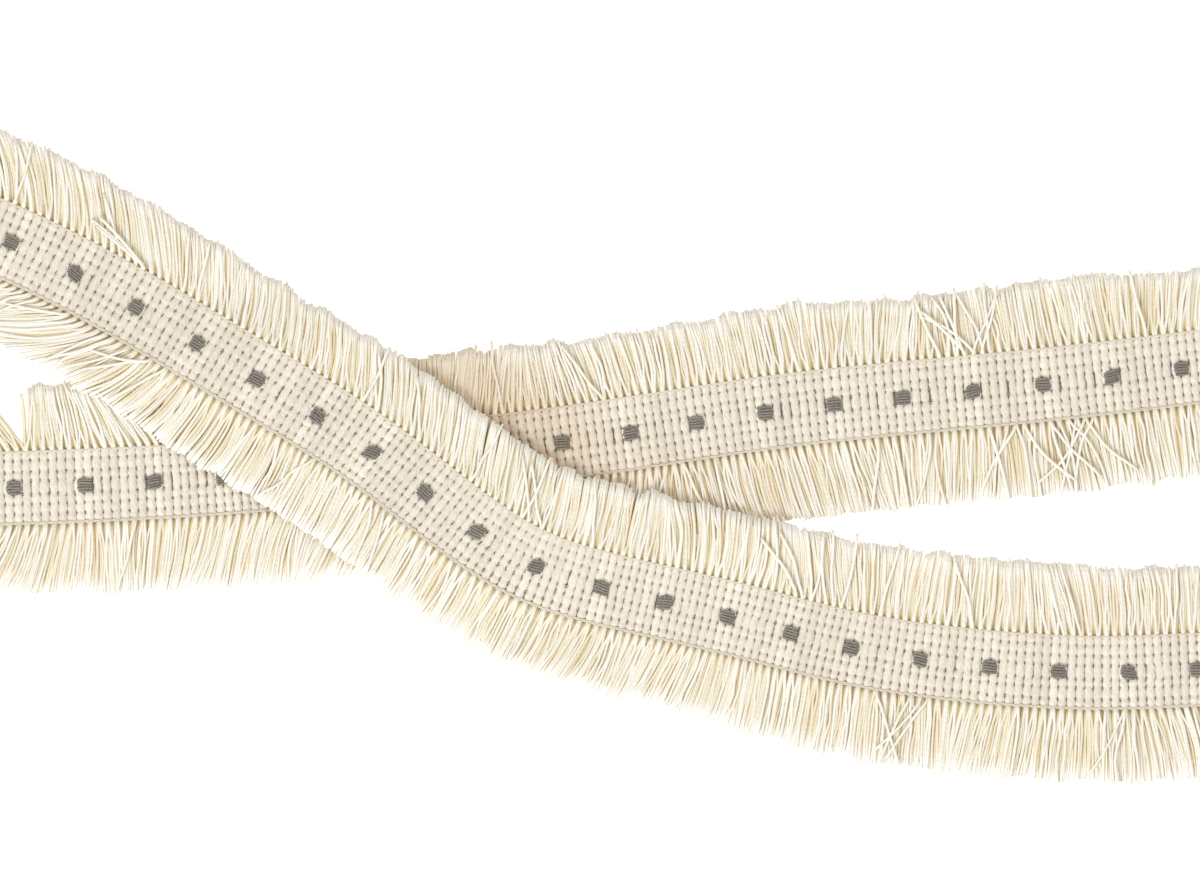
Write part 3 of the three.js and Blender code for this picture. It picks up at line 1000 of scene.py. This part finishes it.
class TRIM_OT_underlay(bpy.types.Operator):
    """Runs the dots' grey yarns along under the ribs of the dotted row"""

    bl_idname = "trim.underlay"
    bl_label = "Run grey yarns under the ribs"

    def execute(self, context):
        along = np.arange(TAPE_START + MM, TAPE_END - MM, UNDERLAY_STEP)
        paths = []
        for i, line in enumerate(UNDERLAY_LINES):
            left = line * MM + waves(along, 40 + i, UNDERLAY_WAVE_LENGTHS) * UNDERLAY_WAVE
            paths.append(route.tape_points(along, left, UNDERLAY_HEIGHT))
        tints = (0.3, 0.6, 0.45, 0.55)
        grey = dot_material()
        even_yarns(
            "grey_underlay", paths, UNDERLAY_HALF, CORD_SIDES, grey, tints, UNDERLAY_FLATNESS
        )
        return {"FINISHED"}


DOT_RINGS = 11
DOT_SIDES = 8
DOT_WIDTH = 4.0 * MM
DOT_RISE = 0.38 * MM
DOT_DIVE = 1.0 * MM
DOT_DIVE_POWER = 7
FLOAT_HALF_WIDTH = 0.52
FLOAT_HALF_HEIGHT = 0.42 * MM
FLOAT_END_TAPER = 0.25
FLOAT_TAPER_POWER = 6


class TRIM_OT_dots(bpy.types.Operator):
    """Floats the grey yarns of each dot over two ribs"""

    bl_idname = "trim.dots"
    bl_label = "Work dots"

    def execute(self, context):
        material = dot_material()
        yarns = sizes().dot_yarns
        share = np.linspace(-1, 1, DOT_RINGS)
        pitch = DOT_WIDTH / yarns
        crest = sizes().rib_crest
        rise = crest + DOT_RISE - DOT_DIVE * np.abs(share) ** DOT_DIVE_POWER
        taper = 1 - FLOAT_END_TAPER * np.abs(share) ** FLOAT_TAPER_POWER
        for i, place in enumerate(DOTS):
            draw = np.random.default_rng(500 + i)
            row = np.arange(yarns) - (yarns - 1) / 2
            half_length = sizes().dot_length / 2 * (1.02 - 0.12 * (row / row.max()) ** 2)
            half_length = half_length + draw.normal(0, 0.12 * MM, yarns)
            shift = draw.normal(0, 0.1 * MM) + draw.normal(0, 0.04 * MM, yarns)
            along = place + shift[:, None] + half_length[:, None] * share
            skew = (draw.normal(0, 0.25 * MM) + draw.normal(0, 0.06 * MM, yarns)[:, None]) * share
            left = (row * pitch)[:, None] * (1.04 - 0.14 * share**4) + skew
            left = left + draw.normal(0, 0.04 * MM, (yarns, DOT_RINGS))
            height = rise + draw.normal(0, 0.05 * MM, (yarns, 1))
            paths = route.tape_points(along, left, height)
            wide = np.full((yarns, DOT_RINGS), pitch * FLOAT_HALF_WIDTH) * taper
            high = np.full((yarns, DOT_RINGS), FLOAT_HALF_HEIGHT) * taper
            tubes = yarn_tubes(paths, wide, high, DOT_SIDES)
            name = "dot_%02d" % (i + 1)
            yarn_piece("float_" + name, tubes, material, draw.random(yarns), [name])
        return {"FINISHED"}


STRAND_SIDES = 6
STRAND_RINGS = 10
RING_POWER = 1.45

# Neighbouring strands sway and curl together in waves, and each one a little by itself: in degrees, with
# the waves' shortest and longest length. The bed's strands do the latter less.
SWAY_SLOW = 1.4
SWAY_SLOW_LENGTHS = (9 * MM, 26 * MM)
SWAY_QUICK = 1.0
SWAY_QUICK_LENGTHS = (3 * MM, 7 * MM)
SWAY_OWN = 1.8
CURL = 4.5
CURL_LENGTHS = (7 * MM, 30 * MM)
CURL_OWN = 4.4
BED_CALM = 0.2

# Lengths
LENGTH_OWN = 0.35 * MM
RAGGED = 0.6 * MM
RAGGED_LENGTHS = (5 * MM, 22 * MM)
LONGEST_STRAND = 32 * MM
STRAY_OUTWARD = 0.94

# Roots, crimp and heights. The two that end in BY are shares of the length.
ROOT_GATHER = 0.35
ROOT_SPREAD_BY = 0.32
ROOT_HEIGHT = 1.5 * MM
ROOT_RELIEF = 0.25 * MM
ROOT_INSET = 0.7 * MM
HEAD_DIP = 0.45 * MM
HEAD_DIP_BY = 0.045
CRIMP = 0.2 * MM
BED_ROOT_HEIGHT = 0.6 * MM
LAYER_STEP = 0.42 * MM
LAYER_RELIEF = 0.5 * MM
STRAY_RISE = (0.4 * MM, 0.8 * MM)
TIP_DROP = 0.15 * MM
LAYER_SINK = 0.1
BED_THICKNESS = 1.06
BED_RELIEF = 0.45 * MM

# Painted shade on the strands, as a depth: at their roots, at their middles (lowest and highest level), and
# at their tips. A value below 0 paints light that makes a strand paler
ROOT_DEEP = 0.7
BED_ROOT_DEEP = 3.0
MIDDLE_DEEP = (1.65, -0.4)
BED_MIDDLE_DEEP = (2.2, 0.3)
TIP_DEEP = -0.7


def lay_at(along, edge):
    """The strands' lean at root and tip, in radians, and how far from the middle line they reach."""
    table = np.array(LAY[edge], float)
    root, tip, reach = (np.interp(along / MM, table[:, 0], table[:, column]) for column in (1, 2, 3))
    return np.radians(root), np.radians(tip), reach * MM


def strayed(slot, edge, root, tip, on_top, draw):
    """The leans with some of the upper strands strayed over the others, and which have."""
    chance = draw.random(len(slot)) + np.where(on_top, 0, 1)
    lean = draw.normal(0, STRAY_LEAN, len(slot))
    stray = chance < STRAY_SHARE
    root = np.where(stray, root + np.radians(lean), root)
    tip = np.where(stray, tip + np.radians(lean), tip)
    for place, start, end, share, least, most, bend in STRAYS:
        if place != edge:
            continue
        inside = (slot > start * MM) & (slot < end * MM) & (chance < share * STRAY_THINNING)
        lean = np.radians(draw.uniform(least, most, len(slot)))
        bends = np.radians(draw.uniform(-bend, bend, len(slot)))
        root = np.where(inside, lean, root)
        tip = np.where(inside, lean + bends, tip)
        stray |= inside
    return root, tip, stray


def strand_paths(edge, ribs, seed):
    """The strands that ribs let out at one edge: middle lines, tints, depths of painted shade and which lie
    on top.
    """
    draw = np.random.default_rng(seed)
    side = EDGES[edge]
    upper, bed = sizes().upper_strands, sizes().bed_strands
    radius = sizes().strand_thickness / 2
    rib = np.repeat(ribs, upper + bed)
    order = np.tile(np.arange(upper + bed), len(ribs))
    count = len(rib)
    on_top = order < upper
    share = np.where(on_top, (order + 0.5) / upper, (order - upper + 0.5) / bed) - 0.5
    slot = RIB_MIDDLES[rib] + share * RIB_PITCHES[rib]
    root_at = RIB_MIDDLES[rib] + share * RIB_PITCHES[rib] * np.where(on_top, ROOT_GATHER, 1)
    calm = np.where(on_top, 1, BED_CALM)
    root, tip, reach = lay_at(slot, edge)
    sway = SWAY_SLOW * waves(slot, side + 61, SWAY_SLOW_LENGTHS)
    sway = sway + SWAY_QUICK * waves(slot, side + 64, SWAY_QUICK_LENGTHS)
    sway = np.radians(sway + draw.normal(0, SWAY_OWN, count) * calm)
    curl = CURL * waves(slot, side + 67, CURL_LENGTHS)
    curl = np.radians(curl + draw.normal(0, CURL_OWN, count) * calm)
    root, tip, stray = strayed(slot, edge, root + sway - curl / 2, tip + sway + curl / 2, on_top, draw)

    # t is the share of each strand's length at its rings, closer together near its root. A strand leaves
    # its rib nearly straight and bends from a tenth to nine tenths of its length.
    t = np.linspace(0, 1, STRAND_RINGS) ** RING_POWER
    middle = (t[1:] + t[:-1]) / 2
    angle = root[:, None] + (tip - root)[:, None] * smooth((middle - 0.1) / 0.8)
    angle = angle * smooth(middle / 0.14 + 0.15)
    _, _, reach_now = lay_at(slot + tip * (reach - TAPE_HALF), edge)
    outward = (np.cos(angle) * np.diff(t)).sum(axis=1)
    length = (reach_now - TAPE_HALF + ROOT_INSET) / np.where(stray, STRAY_OUTWARD, outward)
    length = np.minimum(length, LONGEST_STRAND) + draw.normal(0, LENGTH_OWN, count) * calm
    length = length + RAGGED * waves(slot, side + 71, RAGGED_LENGTHS)

    x0, y0 = route.plan(root_at, side * (TAPE_HALF - ROOT_INSET))
    _, _, dx, dy = route.place(root_at)
    step = length[:, None] * np.diff(t)
    out = side * np.cos(angle) * step
    forward = np.sin(angle) * step
    start = np.zeros((count, 1))
    x = x0[:, None] + np.concatenate([start, np.cumsum(dx[:, None] * forward - dy[:, None] * out, 1)], 1)
    y = y0[:, None] + np.concatenate([start, np.cumsum(dy[:, None] * forward + dx[:, None] * out, 1)], 1)
    crimp = draw.uniform(0.9, 1.9, (count, 1)) * t + draw.random((count, 1))
    crimp_size = (draw.normal(0, CRIMP, count) * calm)[:, None]
    crimp = np.sin(2 * math.pi * crimp) * smooth(t / 0.3) * crimp_size
    spread = (slot - root_at)[:, None] * smooth(t / ROOT_SPREAD_BY) + crimp
    x = x + dx[:, None] * spread
    y = y + dy[:, None] * spread

    level = np.where(stray, 1, draw.random(count))
    resting = np.where(
        on_top, radius + LAYER_STEP + LAYER_RELIEF * level, BED_THICKNESS * radius + BED_RELIEF * level
    )
    resting = resting + np.where(stray, draw.uniform(*STRAY_RISE, count), 0)
    tip_drop = np.where(on_top & ~stray, draw.uniform(0, TIP_DROP, count), 0)
    height = resting[:, None] - tip_drop[:, None] * t**2
    root_height = np.where(on_top, ROOT_HEIGHT + ROOT_RELIEF * level, BED_ROOT_HEIGHT)[:, None]
    head_dip = np.where(on_top, HEAD_DIP, 0)[:, None] * (1 - smooth(t / HEAD_DIP_BY))
    height = root_height + (height - root_height) * smooth(t / 0.2) - head_dip
    z = route.lift(root_at[:, None], x, y) * (1 - LAYER_SINK * smooth(t / 0.5)) + height
    # Painted shade: deeper under other strands and at the bed's roots, and below 0 painted light on the
    # tips
    low_deep = np.where(on_top, MIDDLE_DEEP[0], BED_MIDDLE_DEEP[0])
    high_deep = np.where(on_top, MIDDLE_DEEP[1], BED_MIDDLE_DEEP[1])
    mid_deep = (low_deep + (high_deep - low_deep) * level)[:, None]
    root_deep = np.where(on_top, ROOT_DEEP, BED_ROOT_DEEP)[:, None]
    painted_shade_depth = mid_deep + (root_deep - mid_deep) * (1 - smooth(t / 0.16))
    painted_shade_depth = painted_shade_depth - (mid_deep - TIP_DEEP) * smooth((t - 0.72) / 0.28)
    return np.stack([x, y, z], axis=-1), draw.random(count), painted_shade_depth, on_top


def strand_halves(tints, on_top):
    """Each strand's half thickness at its rings: a little slimmer at its root and where it was cut."""
    t = np.linspace(0, 1, STRAND_RINGS)
    profile = 0.78 + 0.22 * smooth(t / 0.12) - 0.08 * t - 0.16 * smooth((t - 0.9) / 0.1)
    thick = sizes().strand_thickness / 2 * profile
    own = np.broadcast_to(thick, (len(tints), STRAND_RINGS)) * (0.92 + 0.16 * tints[:, None])
    return own * np.where(on_top, 1, BED_THICKNESS)[:, None]


class TRIM_OT_fringe(bpy.types.Operator):
    """Lets the fringe's cotton strands out of each rib at both edges of the tape"""

    bl_idname = "trim.fringe"
    bl_label = "Lay fringe"

    def execute(self, context):
        material = strand_material()
        total = sum(locks for _, locks in FRINGE_STRETCHES)
        seed = 100
        for edge in EDGES:
            done = 0
            for stretch, locks in FRINGE_STRETCHES:
                start = TAPE_START + (TAPE_END - TAPE_START) * done / total
                done += locks
                end = TAPE_START + (TAPE_END - TAPE_START) * done / total
                ribs = np.flatnonzero((RIB_MIDDLES >= start) & (RIB_MIDDLES < end))
                paths, tints, painted_shade_depth, on_top = strand_paths(edge, ribs, seed)
                seed += 10
                half = strand_halves(tints, on_top)
                tubes = yarn_tubes(paths, half, half, STRAND_SIDES)
                node = "fringe_%s_%s" % (edge, stretch)
                name = "strands_%s_%s" % (edge, stretch)
                yarn_piece(name, tubes, material, tints, [node], painted_shade_depth)
        return {"FINISHED"}


# Stage

FLOOR_SIZE = 6.0
ROOM_LIGHT = (1.0, 0.945, 0.855, 1)
ROOM_STRENGTH = 0.76
LAMP_COLOUR = (0.82, 0.91, 1.0)

# Each lamp's name, place, size in metres and power in watts
LAMPS = (
    ("Window", (-1.45, -1.74, 1.74), 1.15, 57.0),
    ("Fill", (1.5, 1.3, 2.1), 1.9, 13.0),
)


class TRIM_OT_stage(bpy.types.Operator):
    """Sets the pale ground, the soft light and the camera over the trim"""

    bl_idname = "trim.stage"
    bl_label = "Set stage"

    def execute(self, context):
        bpy.ops.object.select_all(action="DESELECT")
        bpy.ops.mesh.primitive_plane_add(size=FLOOR_SIZE, location=(0, 0, 0))
        floor = context.object
        floor.name = "floor"
        floor.data.materials.append(floor_material())
        floor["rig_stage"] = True

        world = bpy.data.worlds.new("Soft room light")
        context.scene.world = world
        world.use_nodes = True
        sky = {"Color": ROOM_LIGHT, "Strength": ROOM_STRENGTH}
        set_inputs(world.node_tree.nodes["Background"], sky)

        for name, place, size, power in LAMPS:
            bpy.ops.object.light_add(type="AREA", location=place)
            lamp = context.object
            lamp.name = name
            lamp.data.size = size
            lamp.data.energy = power
            lamp.data.color = LAMP_COLOUR
            lamp.rotation_euler = (-lamp.location).to_track_quat("-Z", "Y").to_euler()

        centre_x = PHOTO_WIDTH / 2 * PIXEL - BOX_MIDDLE[0] * MM
        centre_y = -PHOTO_HEIGHT / 2 * PIXEL - BOX_MIDDLE[1] * MM
        bpy.ops.object.camera_add(location=(centre_x, centre_y, CAMERA_HEIGHT), rotation=(0, 0, 0))
        camera = context.object
        camera.data.sensor_width = SENSOR_WIDTH
        camera.data.lens = SENSOR_WIDTH * CAMERA_HEIGHT / (PHOTO_WIDTH * PIXEL)
        camera.data.clip_end = CLIP_END
        context.scene.camera = camera
        context.scene.view_settings.view_transform = "Standard"
        context.scene.view_settings.look = "None"
        return {"FINISHED"}


def floor_material():
    material, _, shader = new_material("White ground")
    values = {
        "Base Color": (0.6, 0.6, 0.6, 1),
        "Roughness": 0.9,
        "Specular IOR Level": 0.1,
        "Emission Color": (1, 1, 1, 1),
        "Emission Strength": 0.75,
    }
    set_inputs(shader, values)
    return material


class TRIM_PT_panel(bpy.types.Panel):
    """Lists the steps that make the trim"""

    bl_label = "Dot fringe trim"
    bl_idname = "TRIM_PT_panel"
    bl_space_type = "VIEW_3D"
    bl_region_type = "UI"
    bl_category = "Trim"

    def draw(self, context):
        for step in STEPS:
            self.layout.operator(step.bl_idname)
        for group in (context.scene.trim_sizes, context.scene.trim_colours):
            for name in group.__annotations__:
                self.layout.prop(group, name)


STEPS = (
    TRIM_OT_stage,
    TRIM_OT_ground,
    TRIM_OT_underlay,
    TRIM_OT_ribs,
    TRIM_OT_binders,
    TRIM_OT_selvedges,
    TRIM_OT_dots,
    TRIM_OT_fringe,
)
CLASSES = (TrimSizes, TrimColours, *STEPS, TRIM_PT_panel)


def register():
    for each in CLASSES:
        bpy.utils.register_class(each)
    bpy.types.Scene.trim_sizes = bpy.props.PointerProperty(type=TrimSizes)
    bpy.types.Scene.trim_colours = bpy.props.PointerProperty(type=TrimColours)


def unregister():
    del bpy.types.Scene.trim_colours
    del bpy.types.Scene.trim_sizes
    for each in reversed(CLASSES):
        bpy.utils.unregister_class(each)


def main():
    register()
    bpy.ops.trim.stage()
    bpy.ops.trim.ground()
    bpy.ops.trim.underlay()
    bpy.ops.trim.ribs()
    bpy.ops.trim.binders()
    bpy.ops.trim.selvedges()
    bpy.ops.trim.dots()
    bpy.ops.trim.fringe()
    faces = sum(len(piece.data.polygons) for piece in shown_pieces() if "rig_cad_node" not in piece)
    print("faces added:", faces)


if __name__ == "__main__":
    main()
